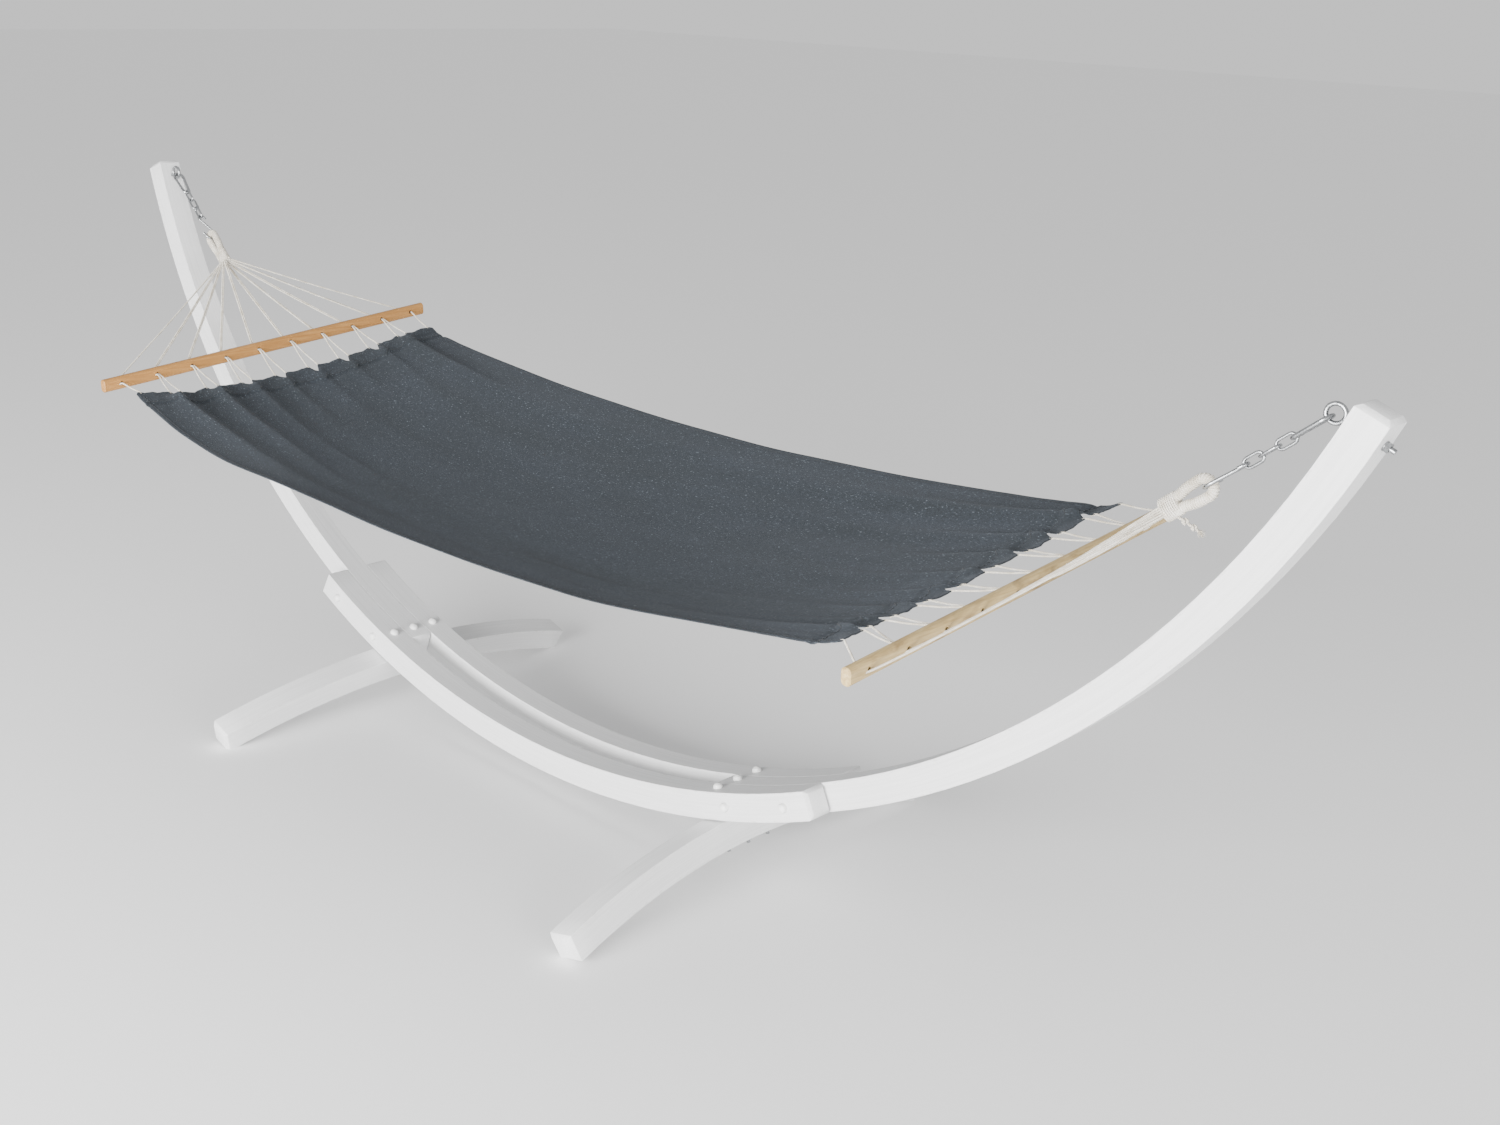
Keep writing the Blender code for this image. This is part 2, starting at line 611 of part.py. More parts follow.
def cloth_point(x, y):
    """The cloth's middle surface at a place in plan."""
    along = min(1.0, abs(x) / CLOTH_HALF_LENGTH)
    across = y / CLOTH_HALF_WIDTH
    chord = CLOTH_MIDDLE_Z + CLOTH_TILT * x + CLOTH_RISE * x * x + y * sin(ROLL)
    sag = CLOTH_MIDDLE_SAG + (CLOTH_END_SAG - CLOTH_MIDDLE_SAG) * along ** 3
    return Vector((x, y, chord - sag * (1.0 - across * across)))


def hem_x(y):
    """Distance of the end hem from the middle of the bed."""
    across = y / CLOTH_HALF_WIDTH
    return CLOTH_HALF_LENGTH - HEM_RETREAT * (1.0 - across * across)


def strand_paths(side):
    """Each cord from the collar through its hole in the bar to the hem.

    The outer holes hold one strand and the others a pair. The strands leave the collar in two
    columns of five rows, in the order of their holes, so that none crosses another.
    """
    mouth = BAR_THICKNESS / 2 + 0.005
    paths = []
    for k in range(HOLE_COUNT):
        column = -1 if k < HOLE_COUNT // 2 else 1
        row = (k % (HOLE_COUNT // 2)) - 2
        outer = k in (0, HOLE_COUNT - 1)
        for offset in ((0.0,) if outer else (-CORD_SPACING, CORD_SPACING)):
            shift = Vector((0.0, offset, 0.0))
            start = pull_frame(side) @ Vector((COLLAR_END - CORD_SINK, 0.0, row * CORD_ROW))
            start += shift + Vector((0.0, column * COLUMN_DISTANCE, 0.0))
            if outer:
                hem_y = copysign(CLOTH_HALF_WIDTH - CORNER_INSET, hole_y(k))
            else:
                hem_y = hole_y(k) + offset / CORD_SPACING * TAB_HALF_GAP
            target = cloth_point(side * (hem_x(hem_y) + CORD_RADIUS + HEM_CLEARANCE), hem_y)
            paths.append([start, bar_point(side, hole_y(k), mouth) + shift,
                          bar_point(side, hole_y(k), -mouth) + shift, target])
    return paths


def build_clew(name, side):
    """The loop, its collar and all the cords that it gathers, as one piece of rope work."""
    place = pull_frame(side) @ at(COLLAR_START, 0.0, 0.0)
    clew = add_object(name, collar_mesh(), MATERIALS["cotton"], place)
    combine(clew, add_cutter(name + "_loop", rope_loop_mesh(), [pull_frame(side)]), "UNION")
    strands = evaluated_mesh(add_object("strands", tube_curve(strand_paths(side), CORD_RADIUS), None))
    combine(clew, add_cutter(name + "_strands", weld(strands), [Matrix.Identity(4)]), "UNION")
    if side > 0:
        tail = add_cutter(name + "_tail", tube_mesh(tail_path(), TAIL_RADIUS), [Matrix.Identity(4)])
        combine(clew, tail, "UNION")


def build_cloth(name):
    columns, rows = 20, 8
    bm = bmesh.new()
    bmesh.ops.create_grid(bm, x_segments=columns, y_segments=rows, size=0.5)
    for vertex in bm.verts:
        y = vertex.co.y * 2 * CLOTH_HALF_WIDTH
        x = vertex.co.x * 2 * hem_x(y)
        vertex.co = cloth_point(x, y)
    mesh = bpy.data.meshes.new(name)
    bm.to_mesh(mesh)
    bm.free()
    mesh.shade_smooth()
    cloth = add_object(name, mesh, MATERIALS["denim"])
    solidify = cloth.modifiers.new("Thickness", "SOLIDIFY")
    solidify.thickness = CLOTH_THICKNESS
    solidify.offset = 0.0


for leftover in list(bpy.data.objects):
    bpy.data.objects.remove(leftover)

PARTS = bpy.data.collections.new("hammock_on_stand")
CUTTERS = bpy.data.collections.new("cutters")
bpy.context.scene.collection.children.link(PARTS)
bpy.context.scene.collection.children.link(CUTTERS)

MATERIALS = {
    "paint": make_material("white_paint", WHITE, 0.45),
    "cap": make_material("white_cap", CAP_WHITE, 0.40),
    "zinc": make_material("zinc", ZINC, 0.32, 1.0),
    "oiled_wood": make_material("oiled_wood", OILED_WOOD, 0.55),
    "pale_wood": make_material("pale_wood", PALE_WOOD, 0.55),
    "cotton": make_material("cotton_rope", COTTON, 0.9),
    "denim": make_material("dark_cloth", DENIM, 0.95),
}

# The line of pull runs from the eye's centre to the holes in the bar.
PULL_ANGLE = atan2(eye_centre(1).z - BAR_Z, eye_centre(1).x - BAR_X - BAR_THICKNESS / 2)

# Starts of the hanging pieces' centre lines: each wire rests inside the one above it.
SNAP_START = EYE_RADIUS - EYE_WIRE - SNAP_WIRE - ROCKING_GAP
LINK_STEP = LINK_LENGTH - 2 * LINK_WIRE - GAP
LINK_STARTS = [SNAP_START + SNAP_LENGTH - SNAP_WIRE - LINK_WIRE - GAP + LINK_STEP * i for i in range(3)]
HOOK_START = LINK_STARTS[2] + LINK_LENGTH - LINK_WIRE - HOOK_WIRE - GAP
HOOK_END = HOOK_START + HOOK_TOP_RADIUS + HOOK_LENGTH + HOOK_BOTTOM_RADIUS
LOOP_END = HOOK_END - HOOK_WIRE - ROPE_RADIUS - ROCKING_GAP

build_rails()
for side_name, side in (("left", -1), ("right", 1)):
    build_arm(side_name + "_arm", side)
    build_foot(side_name + "_foot", side)
    build_joint(side_name, side)
    build_eye_bolt(side_name, side)
    build_snap_hook(side_name, side)
    build_chain(side_name, side)
    build_s_hook(side_name, side)
    build_clew(side_name + "_clew", side)
build_spreader_bar("left_spreader_bar", -1, MATERIALS["oiled_wood"])
build_spreader_bar("right_spreader_bar", 1, MATERIALS["pale_wood"])
build_cloth("hammock_cloth")
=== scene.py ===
"""Looks for the hammock on its arched timber stand: rope work, cloth, finishes, light and camera."""

import json
import random
from math import cos, exp, pi, radians, sin

import bmesh
import bpy
from mathutils import Matrix, Vector, noise


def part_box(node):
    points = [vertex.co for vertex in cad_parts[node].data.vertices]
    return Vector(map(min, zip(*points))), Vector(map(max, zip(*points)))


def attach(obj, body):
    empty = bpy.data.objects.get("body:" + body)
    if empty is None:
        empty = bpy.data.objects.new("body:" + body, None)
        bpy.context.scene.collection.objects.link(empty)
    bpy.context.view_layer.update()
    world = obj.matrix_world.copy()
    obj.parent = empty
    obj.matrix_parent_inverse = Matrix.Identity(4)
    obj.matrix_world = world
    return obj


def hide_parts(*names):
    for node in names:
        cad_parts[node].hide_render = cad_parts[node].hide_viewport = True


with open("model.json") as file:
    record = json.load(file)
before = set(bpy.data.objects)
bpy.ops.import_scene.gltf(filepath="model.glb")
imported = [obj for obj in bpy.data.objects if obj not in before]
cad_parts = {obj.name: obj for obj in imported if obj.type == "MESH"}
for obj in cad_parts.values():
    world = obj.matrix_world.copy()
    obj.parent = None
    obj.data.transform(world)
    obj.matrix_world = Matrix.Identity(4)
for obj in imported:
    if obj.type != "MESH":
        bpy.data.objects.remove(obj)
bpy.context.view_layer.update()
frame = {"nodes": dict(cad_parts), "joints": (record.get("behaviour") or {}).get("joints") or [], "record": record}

random.seed(7)

JOINTS = {joint["name"]: joint for joint in frame["joints"]}

# Timbers, in the frame's metres
ARC_RADIUS = 1.630
BEAM_DEPTH = 0.055
FOOT_RADIUS = 1.655
FOOT_DEPTH = 0.054                # the feet are square in section
FOOT_ANGLE = radians(17.8)
ARC_CENTRE_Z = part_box("front_rail")[0].z + ARC_RADIUS + BEAM_DEPTH

# Spreader bars and their holes
BAR_LOW, BAR_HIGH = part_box("right_spreader_bar")
BAR_CENTRE = (BAR_LOW + BAR_HIGH) / 2
BAR_HALF_THICKNESS = (BAR_HIGH.x - BAR_LOW.x) / 2
ROLL = radians(5.0)
HOLE_COUNT = 10
HOLE_PITCH = 0.094

# Rope work, measured down the line of pull from where the S-hook bears on the loop
ROPE_RADIUS = 0.0092
LOOP_RADIUS = 0.014
LOOP_CENTRE = 0.00455             # leaves the S-hook room to rock
COLLAR_START = 0.0518
COLLAR_END = 0.0798
COLLAR_HALF_HEIGHT = 0.0172
COLLAR_HALF_WIDTH = 0.0104
STRAND_ROW = 0.0036               # how the strands are stacked inside the collar
STRAND_COLUMN = 0.0043
CORD_RADIUS = 0.0020
CORD_PITCH = 0.011                # length of one twist
CORD_SPACING = 0.00195
WRAP_PITCH = 0.0038
WRAP_CLEARANCE = 0.0006           # keeps the whipping inside the rope's own 9 mm radius
TAIL_RADIUS = 0.0024
KNOT_SIZES = (0.0040, 0.0034)
FRAY_STRANDS = 16
FRAY_SPREAD = 0.0045

# Edges between facets that meet at a larger angle than these stay sharp.
PLAIN_EDGE = radians(32)
WIRE_EDGE = radians(50)           # round wire has 45 degree facets, and nuts 60 degree ones

# Cloth
HALF_WIDTH = 0.430
HALF_LENGTH = 0.955
MIDDLE_Z = 0.656
CLOTH_RISE = 0.075
CLOTH_TILT = 0.012
MIDDLE_SAG = 0.090
END_SAG = 0.024
HEM_RETREAT = 0.020
TAB_LENGTH = 0.025                # tabs reach this far past the notches
NOTCH_HALF_WIDTH = 0.014
SEAM_INSET = 0.036                # end seam, from the notches towards the bed
SIDE_HEM = 0.012
CLOTH_THICKNESS = 0.0016
FOLD_WIDTH = 0.020
RIGHT_CORNER_SHIFT = (0.020, 0.026, 0.016)
LEFT_CORNER_LIFT = 0.015
STITCH_RADIUS = 0.00065
STITCH_PITCH = 0.0038
STITCH_ROW_SPACING = 0.006
SIDE_STITCH_PITCH = 0.0052        # as a fraction of the half length

# Area lights: name, place, size, power
LAMPS = (("key", (1.0, -5.0, 0.9), 3.0, 980.0),
         ("right_fill", (5.0, -1.5, 0.8), 2.5, 200.0))


# ---------------------------------------------------------------- materials

class Finish:
    """A Principled material, with short ways to add nodes to it."""

    def __init__(self, name, **values):
        self.material = bpy.data.materials.new(name)
        self.material.use_nodes = True
        self.tree = self.material.node_tree
        self.shader = self.tree.nodes["Principled BSDF"]
        for socket, value in values.items():
            self.shader.inputs[socket.replace("_", " ")].default_value = value
        self.place = self.node("ShaderNodeTexCoord").outputs["Object"]

    def node(self, kind, inputs=(), **settings):
        node = self.tree.nodes.new(kind)
        for key, value in settings.items():
            setattr(node, key, value)
        for key, value in dict(inputs).items():
            if isinstance(value, bpy.types.NodeSocket):
                self.tree.links.new(value, node.inputs[key])
            else:
                node.inputs[key].default_value = value
        return node

    def math(self, operation, first, second=0.0):
        return self.node("ShaderNodeMath", {0: first, 1: second}, operation=operation).outputs[0]

    def stretched(self, scale, vector=None):
        """The place, scaled by a different factor along each axis."""
        return self.node("ShaderNodeMapping", {"Vector": vector or self.place, "Scale": scale}).outputs[0]

    def noise(self, vector, scale, detail=3.0, roughness=0.5, distortion=0.0):
        return self.node("ShaderNodeTexNoise", {"Vector": vector, "Scale": scale, "Detail": detail,
                                                "Roughness": roughness,
                                                "Distortion": distortion}).outputs["Fac"]

    def ramp(self, factor, *stops):
        """Colours or grey levels at positions from 0 to 1."""
        node = self.node("ShaderNodeValToRGB", {"Fac": factor})
        elements = node.color_ramp.elements
        while len(elements) < len(stops):
            elements.new(0.5)
        for element, (position, colour) in zip(elements, stops):
            element.position = position
            element.color = (colour,) * 3 + (1.0,) if isinstance(colour, float) else (*colour, 1.0)
        return node.outputs["Color"]

    def mix(self, factor, first, second):
        """Two colours, from the first at factor 0 to the second at factor 1."""
        node = self.node("ShaderNodeMix", {0: factor}, data_type="RGBA")
        for index, value in ((6, first), (7, second)):
            if isinstance(value, bpy.types.NodeSocket):
                self.tree.links.new(value, node.inputs[index])
            else:
                node.inputs[index].default_value = (*value, 1.0)
        return node.outputs[2]

    def set(self, socket, value):
        self.tree.links.new(value, self.shader.inputs[socket])

    def bump(self, height, distance, strength=1.0):
        """Adds a bump on top of those already there."""
        normal = self.shader.inputs["Normal"]
        node = self.node("ShaderNodeBump", {"Height": height, "Distance": distance, "Strength": strength})
        if normal.is_linked:
            self.tree.links.new(normal.links[0].from_socket, node.inputs["Normal"])
        self.set("Normal", node.outputs[0])


def painted_timber(name, beam, radius, half_depth, half_width):
    """White paint over bent timber. The beam frame has X along the beam at its middle, Y across it
    and Z from the centre of its bend outwards."""
    finish = Finish(name, Roughness=0.42)
    inverse = beam.inverted()
    local = finish.node("ShaderNodeMapping", {"Vector": finish.place, "Location": inverse.translation,
                                              "Rotation": inverse.to_euler()}).outputs[0]
    axes = finish.node("ShaderNodeSeparateXYZ", {0: local}).outputs
    along = finish.math("MULTIPLY", finish.math("ARCTAN2", axes["X"], axes["Z"]), radius)
    squares = finish.math("ADD", finish.math("MULTIPLY", axes["X"], axes["X"]),
                          finish.math("MULTIPLY", axes["Z"], axes["Z"]))
    outwards = finish.math("SUBTRACT", finish.math("SQRT", squares), radius)
    bent = finish.node("ShaderNodeCombineXYZ", {0: along, 1: axes["Y"], 2: outwards}).outputs[0]

    grain = finish.noise(finish.stretched((5.0, 260.0, 260.0), bent), 1.0, detail=4.0, distortion=0.3)
    broad = finish.noise(finish.stretched((2.0, 24.0, 24.0), bent), 1.0, detail=2.0)
    colour = finish.ramp(grain, (0.30, (0.70, 0.70, 0.70)), (0.62, (0.785, 0.785, 0.785)))
    colour = finish.mix(finish.ramp(broad, (0.35, 0.0), (0.75, 0.35)), colour, (0.72, 0.72, 0.715))

    # The arrises: where the distances to two neighbouring faces are both small, paint is rubbed thin.
    beside = finish.math("SUBTRACT", half_width, finish.math("ABSOLUTE", axes["Y"]))
    above = finish.math("SUBTRACT", half_depth, finish.math("ABSOLUTE", outwards))
    corner = finish.math("ADD", beside, above)
    patchy = finish.math("MULTIPLY", finish.noise(finish.stretched((9.0, 60.0, 60.0), bent), 1.0), 0.0085)
    worn = finish.ramp(finish.math("MULTIPLY", finish.math("SUBTRACT", corner, patchy), 400.0),
                       (0.0, 1.0), (0.12, 0.0))
    chips = finish.noise(finish.stretched((70.0, 300.0, 300.0), bent), 1.0, detail=3.0)
    worn = finish.math("MULTIPLY", worn, finish.ramp(chips, (0.54, 0.0), (0.66, 0.40)))
    colour = finish.mix(worn, colour, (0.50, 0.49, 0.47))
    finish.set("Base Color", colour)
    finish.set("Roughness", finish.ramp(broad, (0.3, 0.36), (0.7, 0.52)))
    finish.bump(grain, 0.0004, 0.55)
    finish.bump(finish.noise(finish.stretched((30.0, 120.0, 120.0), bent), 1.0), 0.0005, 0.25)
    return finish.material


def cap_plastic():
    finish = Finish("white_cap_plastic", Roughness=0.38)
    mottle = finish.noise(finish.place, 900.0, detail=2.0)
    cloud = finish.noise(finish.place, 120.0, detail=2.0)
    finish.set("Base Color", finish.ramp(cloud, (0.3, (0.80, 0.80, 0.785)), (0.7, (0.88, 0.88, 0.87))))
    finish.set("Roughness", finish.ramp(cloud, (0.3, 0.32), (0.7, 0.46)))
    finish.bump(mottle, 0.0001, 0.4)
    return finish.material


def zinc_metal():
    """Zinc plate: a faint crystal pattern, drawn wire lines and darker, duller patches, all on a colour kept dark
    as painted dark reflections.
    """
    finish = Finish("zinc_plate", Metallic=1.0)
    crystals = finish.node("ShaderNodeTexVoronoi", {"Vector": finish.place, "Scale": 700.0})
    crystals = crystals.outputs["Distance"]
    cloud = finish.noise(finish.place, 160.0, detail=4.0)
    # Painted reflection: the base colour is kept far darker than zinc's own, standing in for dark reflections; the
    # patches between the two greys vary at random.
    colour = finish.ramp(cloud, (0.28, (0.17, 0.175, 0.18)), (0.62, (0.40, 0.41, 0.42)))
    colour = finish.mix(finish.ramp(crystals, (0.2, 0.0), (0.8, 0.35)), colour, (0.58, 0.59, 0.60))
    finish.set("Base Color", colour)
    finish.set("Roughness", finish.ramp(cloud, (0.3, 0.38), (0.7, 0.22)))
    finish.bump(cloud, 0.00015, 0.5)
    finish.bump(finish.noise(finish.place, 2400.0), 0.00004, 0.4)
    return finish.material


def bar_wood(name, dark, middle, light, knots):
    """Straight-grained wood along Y, with elongated darker knots where knots is above zero."""
    finish = Finish(name)
    grain = finish.noise(finish.stretched((230.0, 7.0, 230.0)), 1.0, detail=6.0, roughness=0.6,
                         distortion=0.4)
    fibre = finish.noise(finish.stretched((1500.0, 30.0, 1500.0)), 1.0, detail=3.0)
    broad = finish.noise(finish.stretched((22.0, 3.5, 22.0)), 1.0, detail=3.0, distortion=0.6)
    colour = finish.ramp(grain, (0.28, dark), (0.50, middle), (0.72, light))
    colour = finish.mix(finish.ramp(broad, (0.35, 0.0), (0.7, 0.5)), colour, middle)
    colour = finish.mix(finish.ramp(fibre, (0.45, 0.0), (0.8, 0.35)), colour, dark)
    if knots:
        spots = finish.noise(finish.stretched((26.0, 8.0, 26.0)), 1.0, detail=3.0, distortion=1.6)
        stain = finish.ramp(spots, (0.52, 0.0), (0.70, knots))
        colour = finish.mix(stain, colour, (dark[0] * 0.55, dark[1] * 0.5, dark[2] * 0.45))
    finish.set("Base Color", colour)
    finish.set("Roughness", finish.ramp(grain, (0.3, 0.62), (0.7, 0.42)))
    finish.bump(grain, 0.0004, 0.5)
    finish.bump(fibre, 0.0001, 0.5)
    return finish.material


def cotton():
    """Undyed cotton: fine fibres, with slightly soiled and bleached stretches."""
    finish = Finish("undyed_cotton", Roughness=0.92, Sheen_Weight=0.25, Sheen_Roughness=0.6)
    fibre = finish.noise(finish.place, 2600.0, detail=3.0, roughness=0.7)
    cloud = finish.noise(finish.place, 55.0, detail=3.0)
    colour = finish.ramp(cloud, (0.32, (0.52, 0.47, 0.38)), (0.52, (0.66, 0.62, 0.54)),
                         (0.72, (0.76, 0.73, 0.67)))
    colour = finish.mix(finish.ramp(fibre, (0.35, 0.5), (0.60, 0.0)), colour, (0.40, 0.355, 0.28))
    finish.set("Base Color", colour)
    finish.bump(fibre, 0.0003, 0.8)
    finish.bump(finish.noise(finish.place, 900.0), 0.0003, 0.5)
    return finish.material


def melange_cloth():
    """Dark blue-grey melange: slate and charcoal yarns with pale specks, in a fine plain weave."""
    finish = Finish("melange_cloth", Roughness=0.92, Sheen_Weight=0.07, Sheen_Roughness=0.5)
    finish.shader.inputs["Sheen Tint"].default_value = (0.75, 0.85, 1.0, 1.0)
    yarn = finish.noise(finish.stretched((130.0, 460.0, 300.0)), 1.0, detail=3.0, roughness=0.65)
    weft = finish.noise(finish.stretched((460.0, 150.0, 300.0)), 1.0, detail=3.0, roughness=0.65)
    cloud = finish.noise(finish.stretched((3.0, 9.0, 6.0)), 1.0, detail=4.0, distortion=0.5)
    warp_colour = finish.ramp(yarn, (0.34, (0.007, 0.009, 0.012)), (0.52, (0.019, 0.025, 0.034)),
                              (0.70, (0.046, 0.059, 0.076)))
    weft_colour = finish.ramp(weft, (0.34, (0.008, 0.010, 0.012)), (0.54, (0.018, 0.023, 0.029)),
                              (0.72, (0.042, 0.052, 0.063)))
    colour = finish.mix(0.5, warp_colour, weft_colour)
    colour = finish.mix(finish.ramp(cloud, (0.35, 0.45), (0.65, 0.0)), colour, (0.009, 0.012, 0.013))
    specks = finish.noise(finish.stretched((210.0, 420.0, 300.0)), 1.0, detail=1.0)
    colour = finish.mix(finish.ramp(specks, (0.66, 0.0), (0.74, 0.75)), colour, (0.17, 0.20, 0.23))
    finish.set("Base Color", colour)
    axes = finish.node("ShaderNodeSeparateXYZ", {0: finish.place}).outputs
    warp = finish.math("SINE", finish.math("MULTIPLY", axes["Y"], 2 * pi / 0.0011))
    pick = finish.math("SINE", finish.math("MULTIPLY", axes["X"], 2 * pi / 0.0013))
    finish.bump(finish.math("MULTIPLY", warp, pick), 0.00022, 0.5)
    finish.bump(yarn, 0.0004, 0.5)
    return finish.material


def stitch_thread():
    finish = Finish("stitch_thread", Roughness=0.8, Sheen_Weight=0.2)
    ply = finish.noise(finish.place, 1800.0, detail=2.0)
    finish.set("Base Color", finish.ramp(ply, (0.35, (0.006, 0.008, 0.010)), (0.65, (0.022, 0.027, 0.033))))
    finish.bump(ply, 0.0002, 0.7)
    return finish.material


# ---------------------------------------------------------------- geometry helpers

def add_piece(name, data, material, body):
    thing = bpy.data.objects.new(name, data)
    bpy.context.scene.collection.objects.link(thing)
    data.materials.clear()
    data.materials.append(material)
    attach(thing, body)
    return thing


def resampled(path, step):
    """Points at an even spacing along a polyline."""
    points = [Vector(path[0])]
    left = step
    for first, last in zip(path, path[1:]):
        first, last = Vector(first), Vector(last)
        length = (last - first).length
        place = left
        while place < length:
            points.append(first.lerp(last, place / length))
            place += step
        left = place - length
    points.append(Vector(path[-1]))
    return points


def smooth_path(points, steps=8):
    """A Catmull-Rom curve through the points."""
    ends = [points[0] * 2 - points[1]] + list(points) + [points[-1] * 2 - points[-2]]
    path = []
    for a, b, c, d in zip(ends, ends[1:], ends[2:], ends[3:]):
        for i in range(steps):
            t = i / steps
            path.append(0.5 * ((2 * b) + (c - a) * t + (2 * a - 5 * b + 4 * c - d) * t * t
                               + (3 * b - a - 3 * c + d) * t ** 3))
    path.append(Vector(points[-1]))
    return path


def swept_mesh(name, paths, section, twist_pitch=0.0):
    """A mesh swept along each path with the given section, turning once in each twist pitch."""
    outline = bpy.data.curves.new("section", "CURVE")
    spline = outline.splines.new("POLY")
    spline.points.add(len(section) - 1)
    for point, (x, y) in zip(spline.points, section):
        point.co = (x, y, 0.0, 1.0)
    spline.use_cyclic_u = True
    outline_thing = bpy.data.objects.new("section", outline)
    curve = bpy.data.curves.new(name, "CURVE")
    curve.dimensions = "3D"
    curve.bevel_mode = "OBJECT"
    curve.bevel_object = outline_thing
    curve.use_fill_caps = True
    for path in paths:
        spline = curve.splines.new("POLY")
        spline.points.add(len(path) - 1)
        travelled = 0.0
        before = path[0]
        for point, place in zip(spline.points, path):
            travelled += (place - before).length
            before = place
            point.co = (*place, 1.0)
            if twist_pitch:
                point.tilt = 2 * pi * travelled / twist_pitch
    thing = bpy.data.objects.new(name, curve)
    for each in (outline_thing, thing):
        bpy.context.scene.collection.objects.link(each)
    bpy.context.view_layer.update()
    graph = bpy.context.evaluated_depsgraph_get()
    mesh = bpy.data.meshes.new_from_object(thing.evaluated_get(graph))
    bpy.data.objects.remove(thing)
    bpy.data.objects.remove(outline_thing)
    mesh.name = name
    mesh.shade_smooth()
    return mesh


def round_section(radius, sides=12):
    return [(radius * cos(2 * pi * i / sides), radius * sin(2 * pi * i / sides)) for i in range(sides)]


def twisted_section(radius, plies=3, points_per_ply=4):
    """A cord's outline: one lobe for each ply."""
    count = plies * points_per_ply
    outline = []
    for i in range(count):
        angle = 2 * pi * i / count
        lobe = abs(cos(plies * angle / 2))
        reach = radius * (0.80 + 0.20 * lobe)
        outline.append((reach * cos(angle), reach * sin(angle)))
    return outline


def joined(name, meshes):
    bm = bmesh.new()
    for mesh in meshes:
        bm.from_mesh(mesh)
    result = bpy.data.meshes.new(name)
    bm.to_mesh(result)
    bm.free()
    result.shade_smooth()
    return result


# ---------------------------------------------------------------- rope work

def pull_frame(side):
    """X runs down the line of pull from the loop's bearing, Z is square to it in the XZ plane."""
    swing = Vector(JOINTS["right_swing"]["pos_m"])
    bearing = Vector(JOINTS["bed_roll"]["pos_m"])
    down = (bearing - swing).normalized()
    across = Vector((0.0, 1.0, 0.0))
    upwards = Vector((down.z, 0.0, -down.x))
    right = Matrix((down, across, upwards)).transposed().to_4x4()
    right.translation = bearing
    return right if side > 0 else Matrix.Diagonal((-1.0, 1.0, 1.0, 1.0)) @ right


def hole_y(k):
    return (k - (HOLE_COUNT - 1) / 2) * HOLE_PITCH


def bar_point(side, y, beside=0.0):
    return Vector((side * (BAR_CENTRE.x + beside), y * cos(ROLL), BAR_CENTRE.z + y * sin(ROLL)))


def strand_paths(side):
    """The cords from the collar through the bar to the tabs, one at each outer hole and two at
    the others."""
    mouth = BAR_HALF_THICKNESS + 0.004
    paths = []
    for k in range(HOLE_COUNT):
        column = -1 if k < HOLE_COUNT // 2 else 1
        row = (k % (HOLE_COUNT // 2)) - 2
        outer = k in (0, HOLE_COUNT - 1)
        for offset in ((0.0,) if outer else (-CORD_SPACING, CORD_SPACING)):
            shift = Vector((0.0, offset, 0.0))
            start = pull_frame(side) @ Vector((COLLAR_END - 0.006, 0.0, row * STRAND_ROW))
            start += shift + Vector((0.0, column * STRAND_COLUMN, 0.0))
            turn = 1 if hole_y(k) > 0 else -1
            if outer:
                hem_y = turn * (HALF_WIDTH - 0.012)
            else:
                hem_y = hole_y(k) + offset / CORD_SPACING * (NOTCH_HALF_WIDTH + 0.001)
            reach = edge_x(hem_y, side)
            knot = cloth_point(side * (reach - 0.009), hem_y) - Vector((0.0, 0.0, 0.0010))
            entry = cloth_point(side * (reach + 0.001), hem_y) + Vector((0.0, 0.0, 0.0004))
            near = bar_point(side, hole_y(k), mouth) + shift
            far = bar_point(side, hole_y(k), -mouth) + shift
            slack = 0.0015 + 0.002 * random.random()
            middle = (start + near) / 2 - Vector((0.0, 0.0, slack))
            lower = far.lerp(entry, 0.5) - Vector((0.0, 0.0, 0.0012))
            before = entry.lerp(far, 0.009 / (far - entry).length)
            paths.append(smooth_path([start, middle, near, far, lower, before, entry, knot], 6))
    return paths


def loop_path():
    """Centre line of the rope eye in the pull frame, from leg to leg round the S-hook."""
    leg = ROPE_RADIUS * 0.98
    points = [Vector((COLLAR_START + 0.008, 0.0, leg)),
              Vector((COLLAR_START - 0.008, 0.0, leg + 0.0006)),
              Vector((COLLAR_START - 0.024, 0.0, LOOP_RADIUS - 0.0010))]
    for i in range(13):
        angle = pi / 2 + pi * i / 12
        points.append(Vector((LOOP_CENTRE + LOOP_RADIUS * cos(angle), 0.0, LOOP_RADIUS * sin(angle))))
    points += [Vector((p.x, 0.0, -p.z)) for p in reversed(points[:3])]
    return smooth_path(points, 5)


def wrapped_path(centres, radius_y, radius_z, pitch, steps=22):
    """A helix of touching turns round a line that lies in the XZ plane."""
    line = resampled(centres, pitch / steps)
    path = []
    for i in range(1, len(line) - 1):
        tangent = (line[i + 1] - line[i - 1]).normalized()
        sideways = tangent.cross(Vector((0.0, 1.0, 0.0)))
        angle = 2 * pi * i / steps
        wobble = 1.0 + 0.02 * noise.noise(Vector((i * 0.037, 0.0, 3.1)))
        path.append(line[i] + Vector((0.0, radius_y * cos(angle) * wobble, 0.0))
                    + sideways * (radius_z * sin(angle) * wobble))
    return path


